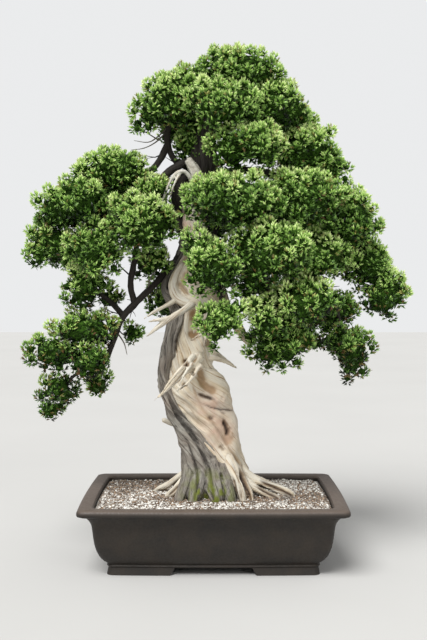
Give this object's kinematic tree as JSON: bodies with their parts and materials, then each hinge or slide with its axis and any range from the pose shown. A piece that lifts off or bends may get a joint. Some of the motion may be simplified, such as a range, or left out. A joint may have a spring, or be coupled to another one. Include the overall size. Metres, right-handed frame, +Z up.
{
  "type": "procumbens nana juniper bonsai",
  "caption": "Old juniper bonsai in a rectangular unglazed pot: a bark band climbs a bleached, twisted trunk to cloud-like pads of short green foliage.",
  "frame": {"origin": "centre of the footprint of the whole object's box, on the surface that the pot's feet stand on", "axes": "+Z up the tree; the front of the tree and a long side of the pot face -Y; +X to the right of somebody who looks at the front"},
  "size_m": [0.7466, 0.3924, 0.997],
  "materials": {
    "pot": "satin",
    "soil": "matte",
    "grit_layer": "matte",
    "drain_screen": "matte",
    "deadwood": "matte",
    "live_wood": "matte",
    "foliage": "matte"
  },
  "bodies": {
    "root": {"deadwood": "deadwood", "drain_screen_left": "drain_screen", "drain_screen_right": "drain_screen", "foliage_back_01": "foliage", "foliage_back_02": "foliage", "foliage_crown_01": "foliage", "foliage_crown_02": "foliage", "foliage_crown_03": "foliage", "foliage_crown_04": "foliage", "foliage_crown_05": "foliage", "foliage_crown_06": "foliage", "foliage_crown_07": "foliage", "foliage_crown_08": "foliage", "foliage_crown_09": "foliage", "foliage_crown_10": "foliage", "foliage_left_01": "foliage", "foliage_left_02": "foliage", "foliage_left_03": "foliage", "foliage_left_04": "foliage", "foliage_left_05": "foliage", "foliage_left_06": "foliage", "foliage_left_07": "foliage", "foliage_left_08": "foliage", "foliage_left_09": "foliage", "foliage_left_10": "foliage", "foliage_left_11": "foliage", "foliage_left_12": "foliage", "foliage_left_13": "foliage", "foliage_left_14": "foliage", "foliage_left_15": "foliage", "foliage_left_16": "foliage", "foliage_left_17": "foliage", "foliage_left_18": "foliage", "foliage_right_01": "foliage", "foliage_right_02": "foliage", "foliage_right_03": "foliage", "foliage_right_04": "foliage", "foliage_right_05": "foliage", "foliage_right_06": "foliage", "foliage_right_07": "foliage", "foliage_right_08": "foliage", "foliage_right_09": "foliage", "foliage_right_10": "foliage", "foliage_right_11": "foliage", "foliage_right_12": "foliage", "foliage_right_13": "foliage", "foliage_right_14": "foliage", "foliage_right_15": "foliage", "foliage_right_16": "foliage", "foliage_right_17": "foliage", "grit_layer": "grit_layer", "live_wood": "live_wood", "pot": "pot", "soil": "soil"}
  },
  "joints": []
}
